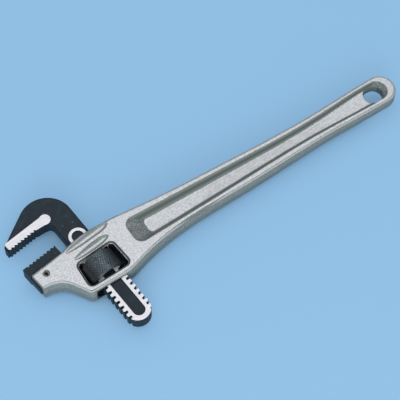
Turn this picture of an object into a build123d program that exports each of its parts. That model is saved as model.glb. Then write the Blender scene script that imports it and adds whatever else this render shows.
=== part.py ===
from build123d import *
import os
from math import asin, ceil, cos, degrees, floor, radians, sin, tan

# Offset pipe wrench, sizes in millimetres and degrees.
# The origin is the centre of the hang hole on the middle plane. +X runs along the handle to its free end,
# +Y points to the hook jaw's side and +Z is square to the flat faces.

# Handle, seen square to its faces
HOLE_TO_SHANK = 279.5  # hang hole to the place where the shank crosses the handle's centre line
END_WALL = 5.1  # how much larger the free end's radius is than the hang hole's
HOLE_TO_END_CENTRE = 7.5
END_CENTRE_RISE = 0.6
HOLE_TO_WAIST = 55.0
WAIST_TOP = 12.2
WAIST_BOTTOM = 12.0
MID_TOP = 14.1
MID_BOTTOM = 14.2
SHANK_TO_NECK = 54.5
NECK_TOP = 19.0
NECK_BOTTOM = 18.3
SHANK_TO_SHOULDER = 29.5
SHOULDER_TOP = 21.4
SHOULDER_BOTTOM = 24.2

# Head, seen square to its faces and measured from the shank's crossing
COLLAR_HEIGHT = 21.0  # crown above the window's top
CROWN_REACH = 9.5
SEAT_BELOW_CROWN = 5.1
SEAT_REACH = 20.2
SEAT_LENGTH = 31.6
NOSE_WALL = 3.0  # metal between the heel jaw's slot and the underside of the nose
CHIN_BEYOND_NUT = 18.7
CHIN_DROP = 3.9
CHIN_RADIUS = 20.0
BELLY_BEYOND_NUT = 4.0
BELLY_BAR = 4.6  # bar below the window, at its thinnest
BELLY_CORNER_RADIUS = 4.0
BELLY_FLAT_REACH = 11.5

# Leans of the shank and of the two rows of teeth
SHANK_LEAN = 4.5
JAW_LEAN = 8.5

# Thicknesses along Z
HEAD_THICKNESS = 20.5
END_THICKNESS = 13.2
WEB_THICKNESS = 8.8
SHANK_TO_CREASE = 31.0
CREASE_RADIUS = 200.0
EDGE_ROUND = 2.6

# Sunk panel on each side of the handle
NECK_RAIL = 6.6
MID_RAIL = 4.9
WAIST_RAIL = 4.4
END_RAIL = 4.1
PANEL_DRAFT = 44.0
PANEL_RIM_ROUND = 1.0
PANEL_FLOOR_ROUND = 1.2
HOLE_TO_PANEL_END = 4.2
PANEL_END_RAMP = 2.4
SHANK_TO_PANEL = 34.0
PANEL_RAMP = 16.0
PANEL_CORNER = 8.0

# Hang hole
HOLE_DIAMETER = 17.0
HOLE_RIM = 0.4
HOLE_EDGE_BREAK = 0.6

# Adjusting nut and its window
NUT_DIAMETER = 31.2
NUT_HEIGHT = 19.2
NUT_DROP = 10.5  # nut's middle below the handle's centre line, along the shank
NUT_CHAMFER = 1.4
NUT_COUNTERSINK = 1.0  # mouth of the bore's countersink outside the thread's crests
NUT_PLAY_TOP = 2.1
NUT_PLAY_BOTTOM = 0.9
WINDOW_PLAY_LEFT = 0.8
WINDOW_PLAY_RIGHT = 2.2
WINDOW_SPREAD_LEFT = 2.5
WINDOW_SPREAD_RIGHT = 0.8
WINDOW_FLOOR_DROP = 2.2
WINDOW_CORNER = 3.5
WINDOW_BEVEL = 1.7

# Lens-shaped scoops above the window
SCOOP_DEPTH = 2.2
SCOOP_PEAK = 0.64  # share of a scoop's length at which it is widest
SCOOP_TIP_RISE = 0.35
SCOOP_BLUNT_RISE = 1.2
SCOOP_LEAN = 2.5
UPPER_SCOOP_ABOVE_WINDOW = 14.8
UPPER_SCOOP_LENGTH = 51.0
UPPER_SCOOP_WIDTH = 7.0
UPPER_SCOOP_SHIFT = 1.6
LOWER_SCOOP_ABOVE_WINDOW = 5.5
LOWER_SCOOP_LENGTH = 42.6
LOWER_SCOOP_WIDTH = 7.0
LOWER_SCOOP_SHIFT = -0.2

# Heel jaw and its pin
HEEL_LENGTH = 32.6
HEEL_SETBACK = 0.6
HEEL_HEIGHT = 9.6
HEEL_TOOTH_COUNT = 8
HEEL_TOE = 3.6  # plain length at the heel jaw's outer end
TENON_THICKNESS = 8.6
TENON_LENGTH = 21.2
TENON_DEPTH = 12.6
TENON_CLEARANCE = 0.2
PIN_DIAMETER = 5.0
PIN_BORE = 2.4
PIN_SLIT = 0.9
PIN_INSET = 22.0
PIN_DEPTH = 6.8
PIN_RECESS = 0.5
PIN_FIT = 0.04
PIN_HOLE_BREAK = 0.7

# Hook jaw
MOUTH_OPENING = 20.6
JAW_THICKNESS = 12.2
LAND_THICKNESS = 13.0
NECK_RELIEF = 0.4  # neck's sides inside the line of the thread's crests
BACK_RADIUS = 23.2
BACK_DROP = 0.6
BACK_SLOPE = 31.4
TIP_REACH = 53.2
TIP_ROUND = 3.5
TEETH_REACH = 23.3
THROAT_DROP = 1.7
THROAT_RADIUS = 6.0
HOOK_TOOTH_COUNT = 9
TOOTH_DEPTH = 1.6
TOOTH_FLAT = 0.9
JAW_EDGE_ROUND = 1.4
GRIP_LAND_HEIGHT = 7.2
GRIP_LAND_REACH = 12.3
GRIP_LAND_RADIUS = 4.8
GRIP_LAND_RISE = 2.9
GRIP_LAND_INSET = 2.0
GRIP_LAND_CORNER = 2.0

# Threaded shank
SHANK_WIDTH = 21.6
SHANK_LENGTH = 118.4
THREAD_FROM_TEETH = 30.2
THREAD_DIAMETER = 25.0  # over the crests at the corners of the flat shank
THREAD_PITCH = 5.4
THREAD_DEPTH = 2.4
THREAD_CREST = 2.4
THREAD_ROOT = 1.9
THREAD_CLEARANCE = 0.3
GROOVE_RUN_OUT = 6.0  # degrees that each groove turns past the shank's flats
SEAM_TURN = 40.0  # degrees that keep the ends of the nut's half turns off its bore's seam
PANEL_RING_RADIUS = 7.8
SHANK_PANEL_WIDTH = 10.4
SHANK_PANEL_TOP = 27.0
SHANK_PANEL_BOTTOM = 109.2
SHANK_PANEL_DEPTH = 1.2

# Room for the shank in the head
SHANK_CLEARANCE = 0.35
ROCK_ROOM = 2.05
TAIL_ROOM = 6.0

# Leaf, coil spring and rivet behind the shank
LEAF_THICKNESS = 0.8
LEAF_WIDTH = 9.0
LEAF_ABOVE_WINDOW = 2.2
LEAF_LENGTH = 15.6
LEAF_GAP = 0.2
SPRING_ABOVE_WINDOW = 10.0
COIL_DIAMETER = 6.0
COIL_WIRE = 0.9
COIL_LEAST_GAP = 0.75
COIL_LENGTH = 11.0
COIL_SEAT = 0.1
SPRING_BORE_CLEARANCE = 0.5
RIVET_DIAMETER = 2.4
RIVET_COIL_CLEARANCE = 0.3
RIVET_FLANGE = 0.8
RIVET_GUIDE = 4.5
RIVET_FIT = 0.05

# Worked-out sizes
HALF_HEAD = HEAD_THICKNESS / 2
HALF_WEB = WEB_THICKNESS / 2
HALF_SHANK = SHANK_WIDTH / 2
CREST_RADIUS = THREAD_DIAMETER / 2
ROOT_RADIUS = CREST_RADIUS - THREAD_DEPTH
NECK_HALF = HALF_SHANK - NECK_RELIEF
NUT_RADIUS = NUT_DIAMETER / 2
WINDOW_TOP = NUT_HEIGHT / 2 + NUT_PLAY_TOP - NUT_DROP
WINDOW_BOTTOM = -NUT_HEIGHT / 2 - NUT_PLAY_BOTTOM - NUT_DROP
CROWN_HEIGHT = WINDOW_TOP + COLLAR_HEIGHT
SEAT_HEIGHT = CROWN_HEIGHT - SEAT_BELOW_CROWN
NOSE_HEIGHT = TENON_DEPTH + TENON_CLEARANCE + NOSE_WALL
CHIN_REACH = NUT_RADIUS + CHIN_BEYOND_NUT
BELLY_REACH = NUT_RADIUS + BELLY_BEYOND_NUT
BELLY_DROP = BELLY_BAR + WINDOW_FLOOR_DROP - WINDOW_BOTTOM
END_RADIUS = HOLE_DIAMETER / 2 + END_WALL
TUNNEL_HALF_THICKNESS = LAND_THICKNESS / 2 + SHANK_CLEARANCE
TUNNEL_RIGHT = HALF_SHANK + LEAF_GAP + LEAF_THICKNESS + ROCK_ROOM
LEAF_BACK = HALF_SHANK + LEAF_GAP + LEAF_THICKNESS
LEAF_BOTTOM = WINDOW_TOP + LEAF_ABOVE_WINDOW
SPRING_RISE = WINDOW_TOP + SPRING_ABOVE_WINDOW
SPRING_BORE_END = LEAF_BACK + COIL_LENGTH + 2 * COIL_SEAT
COIL_TURNS = floor((COIL_LENGTH - COIL_WIRE) / (COIL_WIRE + COIL_LEAST_GAP))
RIVET_FLANGE_DIAMETER = COIL_DIAMETER - 2 * (COIL_WIRE + RIVET_COIL_CLEARANCE)
FREE_END_X = HOLE_TO_END_CENTRE + END_RADIUS
CREASE_X = SHANK_TO_CREASE - HOLE_TO_SHANK
TAPER = (HEAD_THICKNESS - END_THICKNESS) / 2 / (FREE_END_X - CREASE_X)
OVERSHOOT = 10.0  # how far a cutter runs past the solid
OVERLAP = 1.0  # how far two joined solids share the same room
NEAR = 0.01  # two places closer than this are the same
LEVEL_LEAN = 8.0  # a face that leans less than this counts as level
POINTS_PER_TURN = 24  # points on a turn of the coil, to measure the gap between turns

# Local frames
HEAD = Pos(-HOLE_TO_SHANK, 0, 0)
SHANK = HEAD * Rot(0, 0, SHANK_LEAN)
SEAT = HEAD * Pos(-SEAT_REACH, SEAT_HEIGHT, 0) * Rot(0, 0, JAW_LEAN)
UPRIGHT = Rot(-90, 0, 0)  # turns a solid built along Z to stand along Y
AWAY_FROM_SHANK = Rot(0, 90, 0)  # turns a solid built along Z to lie along X


def point_in(frame, x, y):
    """Point (x, y) of a local frame, in the frame that this one is placed in."""
    return (frame * Pos(x, y, 0)).position


def crest_line_rise():
    """Height along the shank where the hook's line of tooth crests crosses the shank's axis."""
    crest = point_in(SHANK.inverse() * SEAT, 0, HEEL_HEIGHT + MOUTH_OPENING)
    return crest.Y - crest.X * tan(radians(JAW_LEAN - SHANK_LEAN))


HOOK = SHANK * Pos(0, crest_line_rise(), 0)
HOOK_TEETH = Rot(0, 0, JAW_LEAN - SHANK_LEAN)
NUT = SHANK * Pos(0, -NUT_DROP, 0)


def both_faces(cutter):
    """A cutter for the upper face and its mirror image for the lower one."""
    return [cutter, mirror(cutter, about=Plane.XY)]


def span_box(x_range, y_range, half_z):
    """Box between two X values and two Y values, symmetric about the middle plane."""
    width = x_range[1] - x_range[0]
    length = y_range[1] - y_range[0]
    return Pos(x_range[0] + width / 2, y_range[0] + length / 2, 0) * Box(width, length, 2 * half_z)


def is_level(face):
    """True for a face that looks up or down, or leans only as much as the handle's taper."""
    return abs(face.normal_at().Z) > cos(radians(LEVEL_LEAN))


def face_height(x):
    """Height of the handle's upper face above the middle plane."""
    return HALF_HEAD - TAPER * max(0.0, x - CREASE_X)


# Handle

def handle_outline():
    """Outer edge of the handle and head, as one face."""
    seat_inner = point_in(SEAT, 0, 0)
    seat_outer = point_in(SEAT, -SEAT_LENGTH, 0)
    nose_low = point_in(SEAT, -SEAT_LENGTH, -NOSE_HEIGHT)
    chin = point_in(HEAD, -CHIN_REACH, -CHIN_DROP)
    belly_corner = point_in(HEAD, -BELLY_REACH, -BELLY_DROP)
    belly_end = point_in(HEAD, BELLY_FLAT_REACH, -BELLY_DROP)
    crown = point_in(HEAD, CROWN_REACH, CROWN_HEIGHT)
    shoulder_x = SHANK_TO_SHOULDER - HOLE_TO_SHANK
    neck_x = SHANK_TO_NECK - HOLE_TO_SHANK
    mid_x = (neck_x - HOLE_TO_WAIST) / 2
    end_top = (HOLE_TO_END_CENTRE, END_CENTRE_RISE + END_RADIUS)
    end_tip = (FREE_END_X, END_CENTRE_RISE)
    end_bottom = (HOLE_TO_END_CENTRE, END_CENTRE_RISE - END_RADIUS)
    top_edge = Spline(
        end_top, (-HOLE_TO_WAIST, WAIST_TOP), (mid_x, MID_TOP), (neck_x, NECK_TOP),
        (shoulder_x, SHOULDER_TOP), crown, tangents=[(-1, 0), (-1, 0)])
    bottom_edge = Spline(
        belly_end, (shoulder_x, -SHOULDER_BOTTOM), (neck_x, -NECK_BOTTOM), (mid_x, -MID_BOTTOM),
        (-HOLE_TO_WAIST, -WAIST_BOTTOM), end_bottom, tangents=[(1, 0), (1, 0)])
    collar = TangentArc(crown, seat_inner, tangent=(-1, 0))
    free_end = ThreePointArc(end_bottom, end_tip, end_top)
    chin_and_belly = FilletPolyline(
        nose_low, chin, belly_corner, belly_end, radius=[CHIN_RADIUS, BELLY_CORNER_RADIUS])
    seat = Polyline(seat_inner, seat_outer, nose_low)
    edges = [top_edge, collar, seat, chin_and_belly, bottom_edge, free_end]
    return make_face([edge for curve in edges for edge in curve.edges()])


def panel_outline(z, head_x, corner, end_x):
    """Edge of the sunk panel where its sloping walls pass the height z.

    The panel starts at head_x with rounded corners and ends in a half circle round end_x.
    """
    neck_x = SHANK_TO_NECK - HOLE_TO_SHANK
    mid_x = (neck_x - HOLE_TO_WAIST) / 2

    def inset(x, rail):
        return rail + (face_height(x) - z) * tan(radians(PANEL_DRAFT))

    tops = [
        (mid_x, MID_TOP - inset(mid_x, MID_RAIL)),
        (-HOLE_TO_WAIST, WAIST_TOP - inset(-HOLE_TO_WAIST, WAIST_RAIL)),
        (end_x, END_CENTRE_RISE + END_RADIUS - inset(end_x, END_RAIL)),
    ]
    bottoms = [
        (mid_x, -MID_BOTTOM + inset(mid_x, MID_RAIL)),
        (-HOLE_TO_WAIST, -WAIST_BOTTOM + inset(-HOLE_TO_WAIST, WAIST_RAIL)),
        (end_x, END_CENTRE_RISE - END_RADIUS + inset(end_x, END_RAIL)),
    ]
    neck_top = NECK_TOP - inset(neck_x, NECK_RAIL)
    neck_bottom = -NECK_BOTTOM + inset(neck_x, NECK_RAIL)
    start_x = head_x + corner
    reach = (neck_x - start_x) / (mid_x - neck_x)
    start_top = neck_top + (neck_top - tops[0][1]) * reach
    start_bottom = neck_bottom + (neck_bottom - bottoms[0][1]) * reach
    half_end = (tops[-1][1] - bottoms[-1][1]) / 2
    end_tip = (end_x + half_end, bottoms[-1][1] + half_end)
    top = Spline((start_x, start_top), *tops, tangents=[(mid_x - start_x, tops[0][1] - start_top), (1, 0)])
    bottom = Spline(
        *reversed(bottoms), (start_x, start_bottom),
        tangents=[(-1, 0), (start_x - mid_x, start_bottom - bottoms[0][1])])
    end = ThreePointArc(tops[-1], end_tip, bottoms[-1])
    low_corner = TangentArc((head_x, start_bottom + corner), (start_x, start_bottom), tangent=(0, -1))
    high_corner = TangentArc((head_x, start_top - corner), (start_x, start_top), tangent=(0, 1))
    head = Line((head_x, start_bottom + corner), (head_x, start_top - corner))
    curves = [top, end, bottom, low_corner, head, high_corner]
    return Pos(0, 0, z) * make_face([edge for curve in curves for edge in curve.edges()])


def panel_cutter():
    """Sunk panel on the upper face: sloping walls down to the web, with a ramp at each end."""
    top_z = HALF_HEAD + OVERLAP
    head_x = SHANK_TO_PANEL - HOLE_TO_SHANK
    ramp_slope = PANEL_RAMP / (HALF_HEAD - HALF_WEB)
    end_height = face_height(HOLE_TO_PANEL_END)
    end_slope = PANEL_END_RAMP / (end_height - HALF_WEB)
    top_start = head_x - ramp_slope * (top_z - HALF_HEAD)
    top_end = HOLE_TO_PANEL_END + end_slope * (top_z - end_height)
    top = panel_outline(top_z, top_start, PANEL_CORNER, top_end)
    floor_end = HOLE_TO_PANEL_END - PANEL_END_RAMP
    floor_face = panel_outline(HALF_WEB, head_x + PANEL_RAMP, PANEL_CORNER / 2, floor_end)
    return loft([top, floor_face], ruled=True)


def side_profile():
    """Room between the two flat faces, seen along Y: level over the head, then tapering to the free end."""
    near_x = -HOLE_TO_SHANK - CHIN_REACH - SEAT_LENGTH
    far_x = FREE_END_X + OVERSHOOT
    upper = FilletPolyline(
        (near_x, HALF_HEAD), (CREASE_X, HALF_HEAD), (far_x, face_height(far_x)), radius=CREASE_RADIUS)
    lower = mirror(upper, about=Plane.XZ)
    ends = [Line(upper @ 0, lower @ 0), Line(upper @ 1, lower @ 1)]
    return Plane.XZ * make_face(upper.edges() + lower.edges() + ends)


def outer_rim_edges(blank):
    """Edges of the flat faces along the sides, without the nose and the lines of the bend."""
    nose_middle = point_in(SEAT, -SEAT_LENGTH, -NOSE_HEIGHT / 2)
    rims = []
    for face in blank.faces():
        if not is_level(face):
            continue
        for edge in face.edges():
            middle = edge @ 0.5
            at_nose = (Vector(middle.X, middle.Y, 0) - nose_middle).length < NEAR
            crosses_face = edge.geom_type == GeomType.LINE and abs((edge % 0.5).X) < NEAR
            if not at_nose and not crosses_face:
                rims.append(edge)
    return rims


def panel_floor_edges(blank):
    """Edges round the floors of the two sunk panels."""
    level_faces = [face for face in blank.faces() if is_level(face)]
    floors = [face for face in level_faces if abs(abs(face.center().Z) - HALF_WEB) < NEAR]
    return [edge for face in floors for edge in face.edges()]


def panel_rim_edges(blank):
    """Edges where the two sunk panels open in the handle's sloping faces."""
    level_faces = [face for face in blank.faces() if is_level(face)]
    return [edge for face in level_faces for wire in face.inner_wires() for edge in wire.edges()]


def nut_window():
    """Window for the nut, open through both faces."""
    left = -NUT_RADIUS - WINDOW_PLAY_LEFT
    right = NUT_RADIUS + WINDOW_PLAY_RIGHT
    corners = [
        (left, WINDOW_TOP), (right, WINDOW_TOP),
        (right + WINDOW_SPREAD_RIGHT, WINDOW_BOTTOM - WINDOW_FLOOR_DROP),
        (left - WINDOW_SPREAD_LEFT, WINDOW_BOTTOM)]
    outline = FilletPolyline(*corners, radius=WINDOW_CORNER, close=True)
    return SHANK * extrude(make_face(outline.edges()), amount=HEAD_THICKNESS, both=True)


def shank_passage():
    """Tunnel through the collar and slot through the bar below the window."""
    left = -HALF_SHANK - SHANK_CLEARANCE
    right = HALF_SHANK + SHANK_CLEARANCE
    collar_top = CROWN_HEIGHT + OVERSHOOT
    belly_bottom = -BELLY_DROP - OVERSHOOT
    tunnel = span_box((left, TUNNEL_RIGHT), (-NUT_DROP, collar_top), TUNNEL_HALF_THICKNESS)
    round_x = left - TAIL_ROOM + TUNNEL_HALF_THICKNESS
    slot = span_box((round_x, right), (belly_bottom, -NUT_DROP), TUNNEL_HALF_THICKNESS)
    slot_length = -NUT_DROP - belly_bottom
    slot_round = Pos(round_x, belly_bottom + slot_length / 2, 0) * UPRIGHT * Cylinder(
        TUNNEL_HALF_THICKNESS, slot_length)
    return [SHANK * tunnel, SHANK * slot, SHANK * slot_round]


def scoop(shift, above_window, length, width):
    """Lens-shaped scoop across the collar's upper face, cut by a spindle that lies along the scoop.

    The spindle's axis stands above the face, so that the scoop has the wanted width and depth. It is
    slender at its outer end and blunt at the handle's end.
    """
    half_width = width / 2
    radius = (half_width ** 2 + SCOOP_DEPTH ** 2) / (2 * SCOOP_DEPTH)
    axis_height = radius - SCOOP_DEPTH
    tip = (-length / 2, 0)
    blunt_end = (length / 2, 0)
    widest = (length * (SCOOP_PEAK - 0.5), radius)
    chord = Line(tip, blunt_end)
    bow = Spline(blunt_end, widest, tip, tangents=[(-1, SCOOP_BLUNT_RISE), (-1, -SCOOP_TIP_RISE)])
    spindle = revolve(make_face([chord, bow]), Axis.X, 360)
    place = Pos(shift, WINDOW_TOP + above_window, HALF_HEAD + axis_height) * Rot(0, 0, SCOOP_LEAN)
    return SHANK * place * spindle


def scoops():
    """The two scoops between the window and the crown."""
    upper = scoop(UPPER_SCOOP_SHIFT, UPPER_SCOOP_ABOVE_WINDOW, UPPER_SCOOP_LENGTH, UPPER_SCOOP_WIDTH)
    lower = scoop(LOWER_SCOOP_SHIFT, LOWER_SCOOP_ABOVE_WINDOW, LOWER_SCOOP_LENGTH, LOWER_SCOOP_WIDTH)
    return [upper, lower]


def heel_slot():
    """Slot between the cheeks for the heel jaw's tenon, open at the seat and at the nose."""
    inner = -HEEL_SETBACK - HEEL_LENGTH + TENON_LENGTH + TENON_CLEARANCE
    outer = -SEAT_LENGTH - OVERSHOOT
    bottom = -TENON_DEPTH - TENON_CLEARANCE
    return SEAT * span_box((outer, inner), (bottom, OVERSHOOT), TENON_THICKNESS / 2 + TENON_CLEARANCE)


def heel_pin_hole():
    """Hole for the spring pin, with a broken edge at both faces."""
    place = SEAT * Pos(-PIN_INSET, -PIN_DEPTH, 0)
    radius = PIN_DIAMETER / 2 + PIN_FIT
    hole = Cylinder(radius, 2 * HEAD_THICKNESS)
    edge_break = Pos(0, 0, HALF_HEAD - PIN_HOLE_BREAK / 2) * Cone(
        radius, radius + PIN_HOLE_BREAK, PIN_HOLE_BREAK)
    return [place * hole] + [place * cone for cone in both_faces(edge_break)]


def spring_bore():
    """Blind bore for the coil spring, from the tunnel into the head."""
    radius = COIL_DIAMETER / 2 + SPRING_BORE_CLEARANCE
    bore_length = SPRING_BORE_END - HALF_SHANK
    bore = Cylinder(radius, bore_length)
    return SHANK * Pos(HALF_SHANK + bore_length / 2, SPRING_RISE, 0) * AWAY_FROM_SHANK * bore


def hang_hole():
    """Hang hole through the web, with a spot face and a broken edge on each side."""
    radius = HOLE_DIAMETER / 2
    hole = Cylinder(radius, HEAD_THICKNESS)
    face_depth = HALF_HEAD - HALF_WEB
    spot_face = Pos(0, 0, HALF_WEB + face_depth / 2) * Cylinder(radius + HOLE_RIM, face_depth)
    edge_break = Pos(0, 0, HALF_WEB - HOLE_EDGE_BREAK / 2) * Cone(
        radius, radius + HOLE_EDGE_BREAK, HOLE_EDGE_BREAK)
    return [hole] + both_faces(spot_face) + both_faces(edge_break)


def handle():
    """One casting: handle with sunk panels, and head with window, collar, cheeks and heel seat."""
    blank = extrude(handle_outline(), amount=HEAD_THICKNESS, both=True)
    blank &= extrude(side_profile(), amount=HOLE_TO_SHANK, both=True)
    blank = fillet(outer_rim_edges(blank), EDGE_ROUND)
    blank -= both_faces(panel_cutter())
    blank = fillet(panel_floor_edges(blank), PANEL_FLOOR_ROUND)
    blank = fillet(panel_rim_edges(blank), PANEL_RIM_ROUND)
    blank -= nut_window()
    blank = chamfer(window_rim_edges(blank), WINDOW_BEVEL)
    for shape in scoops():
        blank -= both_faces(shape)
    blank -= shank_passage()
    blank -= heel_slot()
    blank -= heel_pin_hole()
    blank -= spring_bore()
    blank -= hang_hole()
    return blank


def window_rim_edges(blank):
    """Edges where the nut's window opens in the two flat faces of the head."""
    middle = point_in(NUT, 0, 0)
    reach = NUT_RADIUS + NUT_HEIGHT
    rims = []
    for face in blank.faces():
        if not is_level(face) or abs(abs(face.center().Z) - HALF_HEAD) > NEAR:
            continue
        for wire in face.inner_wires():
            centre = wire.bounding_box().center()
            if (Vector(centre.X, centre.Y, 0) - middle).length < reach / 2:
                rims.extend(wire.edges())
    return rims


# Heel jaw and pin

def saw_teeth(start, end, count, direction, thickness):
    """Notches that leave a row of saw teeth along X, their crests at Y 0 and the jaw's metal above.

    The steep side of each tooth faces +X where direction is 1, and -X where it is -1.
    """
    pitch = (end - start) / count
    notches = []
    for index in range(count):
        if direction > 0:
            steep = start + index * pitch + TOOTH_FLAT
            far = start + (index + 1) * pitch
        else:
            steep = start + (index + 1) * pitch - TOOTH_FLAT
            far = start + index * pitch
        notch = Polyline(
            (steep, -OVERLAP), (steep, TOOTH_DEPTH), (far, 0), (far, -OVERLAP), close=True)
        notches.append(extrude(make_face(notch.edges()), amount=thickness, both=True))
    return notches


def heel_jaw():
    """Toothed block on the seat, with a thinner tenon that the pin passes through."""
    inner = -HEEL_SETBACK
    outer = inner - HEEL_LENGTH
    block = span_box((outer, inner), (0, HEEL_HEIGHT), LAND_THICKNESS / 2)
    tenon = span_box((outer, outer + TENON_LENGTH), (-TENON_DEPTH, OVERLAP), TENON_THICKNESS / 2)
    jaw = block + tenon
    teeth = saw_teeth(-inner, -outer - HEEL_TOE, HEEL_TOOTH_COUNT, 1, LAND_THICKNESS)
    over = Pos(0, HEEL_HEIGHT, 0) * Rot(0, 0, 180)
    jaw -= [over * notch for notch in teeth]
    jaw -= Pos(-PIN_INSET, -PIN_DEPTH, 0) * Cylinder(PIN_DIAMETER / 2 + PIN_FIT, LAND_THICKNESS)
    return SEAT * jaw


def heel_jaw_pin():
    """Slit spring pin, sunk a little below both faces."""
    length = HEAD_THICKNESS - 2 * PIN_RECESS
    pin = Cylinder(PIN_DIAMETER / 2, length) - Cylinder(PIN_BORE / 2, length)
    pin -= Pos(0, -PIN_DIAMETER / 2, 0) * Box(PIN_SLIT, PIN_DIAMETER, length)
    return SEAT * Pos(-PIN_INSET, -PIN_DEPTH, 0) * pin


# Hook jaw

def hook_outline():
    """Side view of the hook and neck, down to the thread, in the hook's own frame."""
    centre_x = NECK_HALF - BACK_RADIUS
    back = CenterArc((centre_x, -BACK_DROP), BACK_RADIUS, 0, 90 + BACK_SLOPE)
    back_end = back @ 1
    tilt = radians(JAW_LEAN - SHANK_LEAN)
    along = Vector(cos(tilt), sin(tilt))
    slope = Vector(-cos(radians(BACK_SLOPE)), -sin(radians(BACK_SLOPE)))
    tip_top = back_end + slope * ((-TIP_REACH - back_end.dot(along)) / slope.dot(along))
    tip_low = along * -TIP_REACH
    teeth_end = along * -TEETH_REACH
    throat = Vector(-NECK_HALF, -NECK_HALF * tan(tilt) - THROAT_DROP)
    neck_low = -THREAD_FROM_TEETH
    under = FilletPolyline(
        back_end, tip_top, tip_low, teeth_end, throat, (-NECK_HALF, neck_low),
        radius=[TIP_ROUND, 0, 0, THROAT_RADIUS])
    rest = Polyline((-NECK_HALF, neck_low), (NECK_HALF, neck_low), (NECK_HALF, -BACK_DROP))
    return make_face(back.edges() + under.edges() + rest.edges())


def thread_stretch(section, rise):
    """Section carried along a helix of the thread's pitch, from +X at Z 0 up to the given rise."""
    path = Helix(THREAD_PITCH, rise, ROOT_RADIUS)
    start = Plane(origin=path @ 0, x_dir=(1, 0, 0), z_dir=path % 0)
    return sweep(start * Polygon(*section, align=None), path=path, is_frenet=True)


def thread_groove():
    """Stretch of the groove between two thread ridges, from flat to flat and centred on +X, along Z."""
    flank = (THREAD_PITCH - THREAD_CREST - THREAD_ROOT) / 2 / THREAD_DEPTH
    height = THREAD_DEPTH + OVERLAP
    crest_half = (THREAD_PITCH - THREAD_CREST) / 2 + flank * OVERLAP
    root_half = THREAD_ROOT / 2
    half_angle = degrees(asin(min(1.0, LAND_THICKNESS / 2 / ROOT_RADIUS))) + GROOVE_RUN_OUT
    rise = THREAD_PITCH * half_angle / 180
    section = [(0, -root_half), (height, -crest_half), (height, crest_half), (0, root_half)]
    return Pos(0, 0, -rise / 2) * Rot(0, 0, -half_angle) * thread_stretch(section, rise)


def thread_grooves():
    """All grooves of the shank, on both edges, half a pitch apart, in the hook's frame."""
    groove = thread_groove()
    first = -THREAD_FROM_TEETH - THREAD_PITCH / 2
    count = floor((SHANK_LENGTH - THREAD_FROM_TEETH) / THREAD_PITCH)
    grooves = []
    for index in range(count):
        rise = first - index * THREAD_PITCH
        grooves.append(UPRIGHT * Pos(0, 0, rise) * groove)
        grooves.append(UPRIGHT * Pos(0, 0, rise - THREAD_PITCH / 2) * Rot(0, 0, 180) * groove)
    return grooves


def hook_jaw():
    """Hook, neck and flat threaded shank in one forging, with ground lands on its faces."""
    outline = hook_outline()
    plate = extrude(outline, amount=JAW_THICKNESS / 2, both=True)
    plate = fillet(hook_rim_edges(plate), JAW_EDGE_ROUND)
    grip_strip = span_rectangle(
        (GRIP_LAND_INSET - TIP_REACH, -GRIP_LAND_REACH), (-THROAT_DROP, GRIP_LAND_HEIGHT))
    grip_strip = HOOK_TEETH * fillet(grip_strip.vertices().sort_by(Axis.X)[:2], GRIP_LAND_CORNER)
    grip_end = HOOK_TEETH * Pos(-GRIP_LAND_REACH, GRIP_LAND_RISE) * Circle(GRIP_LAND_RADIUS)
    grip_land = outline & (grip_strip + grip_end)
    ring = Pos(0, -SHANK_PANEL_TOP) * Circle(PANEL_RING_RADIUS)
    ring += span_rectangle(
        (-PANEL_RING_RADIUS, PANEL_RING_RADIUS), (-THREAD_FROM_TEETH - OVERLAP, -SHANK_PANEL_TOP))
    plate += extrude(grip_land, amount=LAND_THICKNESS / 2, both=True)
    plate += extrude(ring, amount=LAND_THICKNESS / 2, both=True)
    plate += shank_bar()
    plate -= thread_grooves()
    plate -= both_faces(shank_panel())
    teeth = saw_teeth(-TIP_REACH, -TEETH_REACH, HOOK_TOOTH_COUNT, 1, LAND_THICKNESS)
    plate -= [HOOK_TEETH * notch for notch in teeth]
    return HOOK * plate


def span_rectangle(x_range, y_range):
    """Rectangle between two X values and two Y values."""
    width = x_range[1] - x_range[0]
    length = y_range[1] - y_range[0]
    return Pos(x_range[0] + width / 2, y_range[0] + length / 2) * Rectangle(width, length)


def hook_rim_edges(plate):
    """Edges of the plate's two faces, without the cut where the shank begins."""
    rims = []
    for face in plate.faces():
        if is_level(face):
            rims.extend(edge for edge in face.edges() if abs((edge @ 0.5).Y + THREAD_FROM_TEETH) > NEAR)
    return rims


def shank_bar():
    """Blank of the threaded shank: a flat bar with a round tail and its corners turned down."""
    tail_centre = HALF_SHANK - SHANK_LENGTH
    side = span_rectangle((-HALF_SHANK, HALF_SHANK), (tail_centre, -THREAD_FROM_TEETH))
    side += Pos(0, tail_centre) * Circle(HALF_SHANK)
    flats = extrude(side, amount=LAND_THICKNESS / 2, both=True)
    bar_length = SHANK_LENGTH - THREAD_FROM_TEETH
    bar = Pos(0, -THREAD_FROM_TEETH - bar_length / 2, 0) * UPRIGHT * Cylinder(CREST_RADIUS, bar_length)
    return flats & bar


def shank_panel():
    """Long sunk panel with round ends on the shank's upper flat."""
    radius = SHANK_PANEL_WIDTH / 2
    panel = span_rectangle((-radius, radius), (-SHANK_PANEL_BOTTOM, -SHANK_PANEL_TOP))
    panel += Pos(0, -SHANK_PANEL_TOP) * Circle(radius)
    panel += Pos(0, -SHANK_PANEL_BOTTOM) * Circle(radius)
    floor_z = LAND_THICKNESS / 2 - SHANK_PANEL_DEPTH
    return Pos(0, 0, floor_z) * extrude(panel, amount=2 * SHANK_PANEL_DEPTH)


# Adjusting nut

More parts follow.
